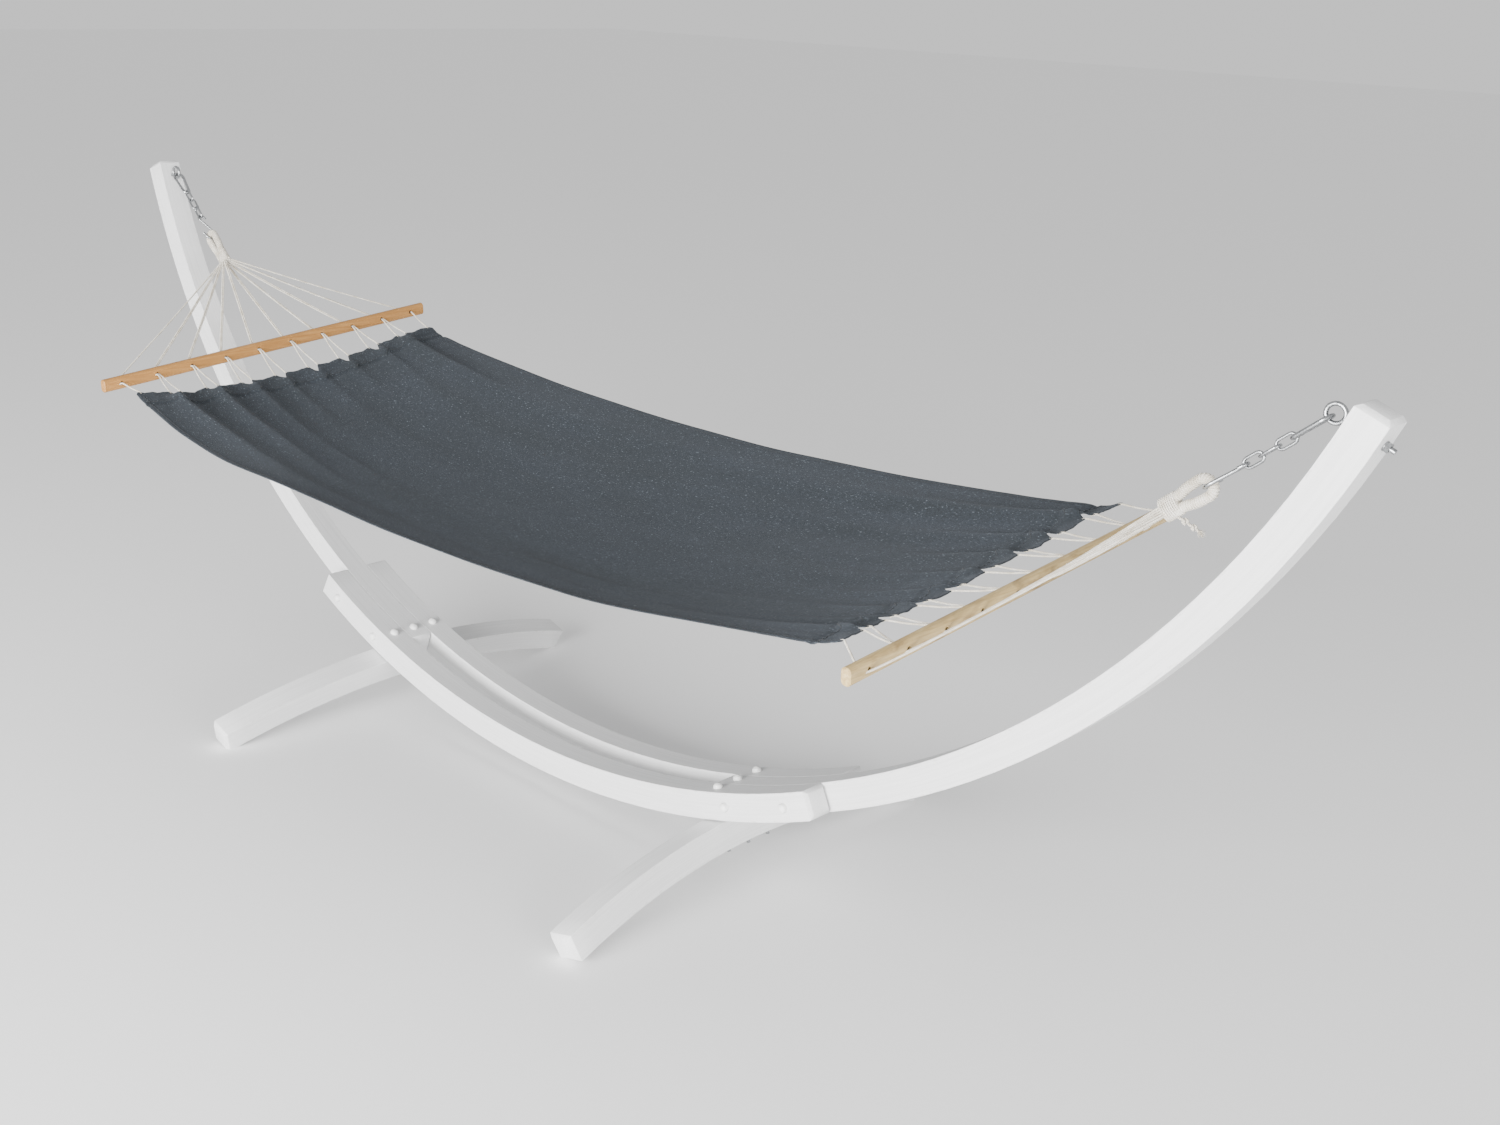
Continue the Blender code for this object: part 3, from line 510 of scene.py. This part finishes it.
def build_loop(side_name, side, material):
    """The rope eye whipped with cord, and the collar wound over both legs and all the strands."""
    place = pull_frame(side)
    line = loop_path()
    wrap = ROPE_RADIUS - CORD_RADIUS - WRAP_CLEARANCE
    flat = [(x, y * 0.9) for x, y in twisted_section(CORD_RADIUS * 1.08)]
    core = swept_mesh("core", [line], round_section(ROPE_RADIUS - 1.15 * CORD_RADIUS, 20))
    turns = swept_mesh("turns", [wrapped_path(line, wrap, wrap, WRAP_PITCH)], flat, CORD_PITCH)

    axis = [Vector((COLLAR_START - 0.001, 0.0, 0.0)), Vector((COLLAR_END + 0.001, 0.0, 0.0))]
    helix = wrapped_path(axis, COLLAR_HALF_WIDTH, COLLAR_HALF_HEIGHT, WRAP_PITCH * 0.96, 32)
    windings = swept_mesh("windings", [helix], flat, CORD_PITCH)
    oval = [(COLLAR_HALF_WIDTH * 0.92 * x, COLLAR_HALF_HEIGHT * 0.94 * y)
            for x, y in round_section(1.0, 20)]
    filling = swept_mesh("filling", [resampled(axis, 0.004)], oval)
    # The filling's section turns with the sweep's own frame, so its long side is set upright here.
    low, top = (min(v.co.z for v in filling.vertices), max(v.co.z for v in filling.vertices))
    if top - low < 1.5 * COLLAR_HALF_HEIGHT:
        filling.transform(Matrix.Rotation(pi / 2, 4, "X"))
    mesh = joined(side_name + "_rope_eye", [core, turns, windings, filling])
    mesh.transform(place)
    if side < 0:
        mesh.flip_normals()
    eye = add_piece(side_name + "_rope_eye", mesh, material, "bed")
    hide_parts(side_name + "_clew")


def knot_points(centre, size, direction):
    """Overhand knot: a trefoil stretched a little along the cord."""
    along = direction.normalized()
    side = along.cross(Vector((0.3, 0.2, 1.0))).normalized()
    other = along.cross(side)
    points = []
    for i in range(19):
        t = 2 * pi * (i / 18) * 0.94 + 0.2
        points.append(centre + side * size * (sin(t) + 2 * sin(2 * t)) / 3
                      + other * size * (cos(t) - 2 * cos(2 * t)) / 3
                      + along * (size * 0.55 * -sin(3 * t) + size * 0.35 * (i / 9 - 1)))
    return points


def build_tail(material):
    """Free end of the right-hand whipping: two knots and a frayed end."""
    start = pull_frame(1) @ Vector(((COLLAR_START + COLLAR_END) / 2, 0.0, -0.016))
    run = Vector((0.024, 0.023, -0.021))
    end = start + run * 1.02
    points = [start, start + run * 0.15] + knot_points(start + run * 0.38, KNOT_SIZES[0], run)
    points += [start + run * 0.58] + knot_points(start + run * 0.80, KNOT_SIZES[1], run) + [end]
    line = resampled(smooth_path(points, 4), 0.0011)
    cord = swept_mesh("tail", [line], twisted_section(TAIL_RADIUS), CORD_PITCH)
    strands = []
    for _ in range(FRAY_STRANDS):
        spread = Vector((random.uniform(-1, 1), random.uniform(-1, 1), random.uniform(-1, 1)))
        spread *= FRAY_SPREAD
        strands.append(smooth_path([end - run * 0.06, end + spread * 0.35 + run * 0.04,
                                    end + spread * 0.8 + run * 0.12,
                                    end + spread * 1.25 + run * random.uniform(0.16, 0.28)], 4))
    fray = swept_mesh("fray", strands, round_section(0.00042, 5))
    add_piece("right_rope_tail", joined("right_rope_tail", [cord, fray]), material, "bed")


def build_fan(side_name, side, material):
    paths = [resampled(path, CORD_PITCH / 5) for path in strand_paths(side)]
    mesh = swept_mesh(side_name + "_cord_fan", paths, twisted_section(CORD_RADIUS), CORD_PITCH)
    fan = add_piece(side_name + "_cord_fan", mesh, material, "bed")
    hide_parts(side_name + "_clew")
    return fan


# ---------------------------------------------------------------- cloth

def hem_x(y):
    """Distance of the notches' line from the middle of the bed."""
    across = y / HALF_WIDTH
    return HALF_LENGTH - HEM_RETREAT * (1.0 - across * across)


def notch_distance(y):
    """How far a place on the hem is from the nearest inner hole's line."""
    return min(abs(y - hole_y(k)) for k in range(1, HOLE_COUNT - 1))


def tab_reach(y, side):
    """How far the cloth reaches past the notches' line: a V at each notch and a wavy tab between."""
    distance = notch_distance(y)
    if distance < NOTCH_HALF_WIDTH:
        return TAB_LENGTH * distance / NOTCH_HALF_WIDTH
    wave = noise.noise(Vector((y * 62.0, side * 4.0, 1.7)))
    ripple = noise.noise(Vector((y * 190.0, side * 2.0, 5.3)))
    within = min(1.0, (distance - NOTCH_HALF_WIDTH) / 0.018)
    corner = max(0.0, (abs(y) - (HALF_WIDTH - 0.010)) / 0.010)
    return TAB_LENGTH - within * (0.0016 + 0.0036 * wave) + 0.0013 * ripple - 0.009 * corner * corner


def edge_x(y, side):
    return hem_x(y) + tab_reach(y, side)


def eased(t):
    t = max(0.0, min(1.0, t))
    return t * t * (3.0 - 2.0 * t)


def sheet_z(x, y):
    """Height of the hanging sheet without folds."""
    along = min(1.0, abs(x) / HALF_LENGTH)
    across = y / HALF_WIDTH
    chord = MIDDLE_Z + CLOTH_TILT * x + CLOTH_RISE * x * x + y * sin(ROLL)
    sag = MIDDLE_SAG + (END_SAG - MIDDLE_SAG) * along ** 3
    return chord - sag * (1.0 - across * across)


# How far the fold at each inner hole runs into the bed, from the front of the bed to the back.
LEFT_FOLDS = (0.60, 0.50, 0.36, 0.18, 0.13, 0.15, 0.24, 0.62)
RIGHT_FOLDS = (0.20, 0.16, 0.18, 0.24, 0.30, 0.38, 0.48, 0.70)
LEFT_HEIGHTS = (0.024, 0.025, 0.020, 0.013, 0.010, 0.011, 0.015, 0.024)
RIGHT_HEIGHTS = (0.015, 0.011, 0.011, 0.013, 0.015, 0.016, 0.018, 0.023)


def fold_height(x, y, side):
    """Raised folds that run inwards from each notch and fade, with the cloth slack between them."""
    from_end = max(0.0, hem_x(y) - side * x)
    lengths, heights = (LEFT_FOLDS, LEFT_HEIGHTS) if side < 0 else (RIGHT_FOLDS, RIGHT_HEIGHTS)
    on_tab = eased((side * x - hem_x(y) + 0.008) / 0.026)
    height = 0.0
    for k, (length, crest) in enumerate(zip(lengths, heights), 1):
        wander = 0.014 * noise.noise(Vector((x * 2.6, k * 3.7, side * 5.0)))
        centre = hole_y(k) * (1.0 + 0.04 * min(1.0, from_end / 0.5)) + wander
        width = FOLD_WIDTH * (1.0 + 2.4 * from_end)
        offset = (y - centre) / width
        skew = 1.0 if offset < 0 else 0.72
        height += crest * exp(-from_end / length) / (1.0 + (offset / skew) ** 2)
    return (height - 0.005 * exp(-from_end / 0.4)) * (1.0 - 0.85 * on_tab)


def cloth_point(x, y):
    """A point on the cloth's middle surface."""
    z = sheet_z(x, y) + fold_height(x, y, -1) + fold_height(x, y, 1)
    side = 1 if x > 0 else -1
    from_edge = hem_x(y) - abs(x)
    # The cords lift the tabs, and the cloth ripples between them.
    lift = exp(-max(0.0, from_edge + TAB_LENGTH) / 0.035)
    pull = 1.0 - min(1.0, abs(notch_distance(y) - NOTCH_HALF_WIDTH) / 0.030)
    z += lift * (0.007 + 0.002 * pull)
    z += 0.0022 * exp(-max(0.0, from_edge) / 0.09) * noise.noise(Vector((x * 26.0, y * 48.0, side)))
    # Slow undulations over the bed, and finer creases that run along it.
    z += 0.0050 * noise.noise(Vector((x * 1.6, y * 7.0, 2.0)))
    z += 0.0016 * noise.noise(Vector((x * 5.0, y * 27.0, 6.0)))
    # The front edge hangs low on the left, and its corners are drawn up towards the bars.
    near = max(0.0, (-y - 0.31) / (HALF_WIDTH - 0.31))
    z -= 0.013 * near * exp(-((x + 0.62) / 0.20) ** 2)
    far = max(0.0, (y - 0.33) / (HALF_WIDTH - 0.33))
    z -= 0.006 * far ** 2
    right_corner = eased((x - 0.45) / 0.50) * eased((-y - 0.22) / 0.21)
    left_corner = eased((-x - 0.78) / 0.18) * eased((-y - 0.30) / 0.13)
    shift_x, shift_y, lift_z = RIGHT_CORNER_SHIFT
    z += lift_z * right_corner + LEFT_CORNER_LIFT * left_corner
    return Vector((x + shift_x * right_corner, y + shift_y * right_corner, z))


def cloth_rows():
    """Places across the sheet, closer together at the notches and the side hems."""
    near_notch = (-NOTCH_HALF_WIDTH, -0.0095, -0.0045, 0.0, 0.0045, 0.0095, NOTCH_HALF_WIDTH)
    hem = [-HALF_WIDTH, -HALF_WIDTH + 0.005, -HALF_WIDTH + 0.010, -HALF_WIDTH + SIDE_HEM,
           -HALF_WIDTH + SIDE_HEM + 0.003]
    rows = hem + [-y for y in hem]
    for k in range(1, HOLE_COUNT - 1):
        rows += [hole_y(k) + offset for offset in near_notch]
    rows.sort()
    filled = []
    for first, last in zip(rows, rows[1:]):
        count = max(1, round((last - first) / 0.0065))
        filled += [first + (last - first) * i / count for i in range(count)]
    return filled + [rows[-1]]


def cloth_columns(count=184):
    """Fractions of the half length, closer together at the ends."""
    places = []
    for i in range(count + 1):
        t = 2 * i / count - 1
        places.append(t * (1.42 - 0.42 * t * t))
    return places


def surface_point(fraction, y):
    """The cloth at a fraction of its half length, with the tabs beyond the last few centimetres."""
    side = 1 if fraction > 0 else -1
    tab_share = max(0.0, (abs(fraction) - 0.93) / 0.07)
    return cloth_point(fraction * hem_x(y) + side * tab_reach(y, side) * tab_share, y)


def inside(distance, softness):
    """1 well inside a boundary, 0 well outside it."""
    return 1.0 / (1.0 + exp(max(-60.0, min(60.0, distance / softness))))


def hem_relief(fraction, y):
    """Extra height of the doubled hems, with a groove along each seam."""
    from_edge = hem_x(y) * (1.0 - abs(fraction))
    from_seam = from_edge - SEAM_INSET
    end = inside(from_seam + 0.002, 0.0012)
    from_side = HALF_WIDTH - abs(y)
    beside = inside(from_side - SIDE_HEM, 0.0010)
    groove = exp(-(from_seam / 0.0034) ** 2)
    pucker = 0.0009 * sin(y * 2 * pi / 0.0125 + 2.0 * sin(y * 31.0)) * exp(-(from_seam / 0.012) ** 2)
    return 0.0014 * max(end, 0.7 * beside) - 0.0030 * groove + pucker


def build_cloth(material, thread):
    columns, rows = cloth_columns(), cloth_rows()
    bm = bmesh.new()
    grid = []
    for fraction in columns:
        line = []
        for y in rows:
            point = surface_point(fraction, y)
            point.z += hem_relief(fraction, y)
            line.append(bm.verts.new(point))
        grid.append(line)
    for first, last in zip(grid, grid[1:]):
        for a, b, c, d in zip(first, last, last[1:], first[1:]):
            bm.faces.new((a, b, c, d))
    mesh = bpy.data.meshes.new("cloth_bed")
    bm.to_mesh(mesh)
    bm.free()
    mesh.shade_smooth()
    cloth = add_piece("cloth_bed", mesh, material, "bed")
    solidify = cloth.modifiers.new("Thickness", "SOLIDIFY")
    solidify.thickness = CLOTH_THICKNESS
    solidify.offset = -1.0
    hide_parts("hammock_cloth")

    stitches = []
    places = evenly_spaced(-HALF_WIDTH + 0.004, HALF_WIDTH - 0.004, STITCH_PITCH)
    for side in (-1, 1):
        for inset in (SEAM_INSET, SEAM_INSET - STITCH_ROW_SPACING):
            stitches += stitch_run([(side, inset, y) for y in places])
    for edge in (-1, 1):
        stitches += side_run(edge)
    threads = swept_mesh("cloth_stitching", stitches, round_section(STITCH_RADIUS, 6))
    seams = add_piece("cloth_stitching", threads, thread, "bed")
    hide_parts("hammock_cloth")
    return cloth, seams


def evenly_spaced(first, last, step):
    count = int((last - first) / step)
    return [first + (last - first) * i / count for i in range(count + 1)]


def stitch(first, last):
    """A short raised stitch between two places on the sheet, given as (fraction, y)."""
    points = []
    for share, height in ((0.0, -0.0003), (0.3, 0.0004), (0.7, 0.0004), (1.0, -0.0003)):
        fraction = first[0] + (last[0] - first[0]) * share
        y = first[1] + (last[1] - first[1]) * share
        point = surface_point(fraction, y)
        point.z += hem_relief(fraction, y) + height
        points.append(point)
    return points


def stitch_run(places):
    """Stitches along an end seam; each place is (side, inset, y)."""
    runs = []
    for (side, inset, y), (_, _, y_next) in zip(places, places[1:]):
        last = y + (y_next - y) * 0.76
        runs.append(stitch((side * (1 - inset / hem_x(y)), y),
                           (side * (1 - inset / hem_x(last)), last)))
    return runs


def side_run(edge):
    """Stitches along a side hem."""
    y = edge * (HALF_WIDTH - SIDE_HEM + 0.0015)
    places = evenly_spaced(-0.985, 0.985, SIDE_STITCH_PITCH)
    return [stitch((a, y), (a + (b - a) * 0.74, y)) for a, b in zip(places, places[1:])]


# ---------------------------------------------------------------- carried-over nodes

def finish_node(node, material, angle=PLAIN_EDGE):
    """Gives a CAD node its material and smooth shading across its facets."""
    thing = frame["nodes"][node]
    for name in ("custom_normal", "sharp_edge"):
        if name in thing.data.attributes:
            thing.data.attributes.remove(thing.data.attributes[name])
    thing.data.shade_smooth()
    thing.data.materials.clear()
    thing.data.materials.append(material)
    weld = thing.modifiers.new("Weld", "WELD")
    weld.merge_threshold = 0.00001
    split = thing.modifiers.new("Edges", "EDGE_SPLIT")
    split.split_angle = angle
    split.use_edge_sharp = False


def finish_timbers():
    upside_down = Matrix.Rotation(pi, 4, "X")
    middle = ARC_RADIUS + BEAM_DEPTH / 2
    for node in ("front_rail", "back_rail", "left_arm", "right_arm"):
        low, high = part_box(node)
        centre = Matrix.Translation((0.0, (low.y + high.y) / 2, ARC_CENTRE_Z))
        finish_node(node, painted_timber(node + "_paint", centre @ upside_down, middle, BEAM_DEPTH / 2,
                                         (high.y - low.y) / 2))
    for node, side in (("left_foot", -1), ("right_foot", 1)):
        low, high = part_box(node)
        turn = Matrix.Rotation(-side * FOOT_ANGLE, 4, "Y")
        seat = Matrix.Translation((0.0, 0.0, ARC_CENTRE_Z)) @ turn
        seat = seat @ Matrix.Translation((0.0, 0.0, -ARC_RADIUS - BEAM_DEPTH - FOOT_RADIUS))
        beam = seat @ Matrix.Rotation(pi / 2, 4, "Z")
        half_depth = FOOT_DEPTH / 2
        finish_node(node, painted_timber(node + "_paint", beam, FOOT_RADIUS - half_depth, half_depth,
                                         half_depth))


# ---------------------------------------------------------------- stage

def build_stage():
    bm = bmesh.new()
    bmesh.ops.create_grid(bm, x_segments=1, y_segments=1, size=30.0)
    mesh = bpy.data.meshes.new("floor")
    bm.to_mesh(mesh)
    bm.free()
    floor = bpy.data.objects.new("floor", mesh)
    bpy.context.scene.collection.objects.link(floor)
    finish = Finish("studio_floor", Roughness=0.9)
    finish.shader.inputs["Base Color"].default_value = (0.93, 0.93, 0.93, 1.0)
    mesh.materials.append(finish.material)

    world = bpy.data.worlds.new("studio")
    world.use_nodes = True
    background = world.node_tree.nodes["Background"]
    background.inputs["Color"].default_value = (1.0, 1.0, 1.0, 1.0)
    background.inputs["Strength"].default_value = 0.85
    bpy.context.scene.world = world

    for name, place, size, power in LAMPS:
        data = bpy.data.lights.new(name, "AREA")
        data.shape = "SQUARE"
        data.size = size
        data.energy = power
        light = bpy.data.objects.new(name, data)
        light.location = place
        aim = Vector((0.0, 0.0, 0.5)) - Vector(place)
        light.rotation_euler = aim.to_track_quat("-Z", "Y").to_euler()
        bpy.context.scene.collection.objects.link(light)


def build_camera():
    data = bpy.data.cameras.new("camera")
    data.sensor_width = 36.0
    data.lens = 41.66
    data.shift_x = 0.1484
    data.shift_y = -0.0302
    camera = bpy.data.objects.new("camera", data)
    heading, pitch, tilt = radians(47.195), radians(-17.889), radians(1.987)
    camera.matrix_world = (Matrix.Translation((2.430, -2.364, 1.668)) @ Matrix.Rotation(heading, 4, "Z")
                           @ Matrix.Rotation(pi / 2 + pitch, 4, "X") @ Matrix.Rotation(tilt, 4, "Z"))
    bpy.context.scene.collection.objects.link(camera)
    bpy.context.scene.camera = camera


build_camera()
build_stage()

zinc = zinc_metal()
plastic = cap_plastic()
for item in frame["record"]["subparts"]:
    if item["material_slot"] == "zinc":
        finish_node(item["node"], zinc, WIRE_EDGE)
    elif item["material_slot"] == "white_cap":
        finish_node(item["node"], plastic)
finish_timbers()
finish_node("left_spreader_bar", bar_wood("golden_wood", (0.27, 0.115, 0.024), (0.38, 0.18, 0.045),
                                          (0.48, 0.25, 0.08), 0.0))
finish_node("right_spreader_bar", bar_wood("pale_wood", (0.30, 0.19, 0.070), (0.47, 0.34, 0.150),
                                           (0.60, 0.46, 0.235), 0.6))

rope = cotton()
for side_name, side in (("left", -1), ("right", 1)):
    build_loop(side_name, side, rope)
    build_fan(side_name, side, rope)
build_tail(rope)

cloth, seams = build_cloth(melange_cloth(), stitch_thread())
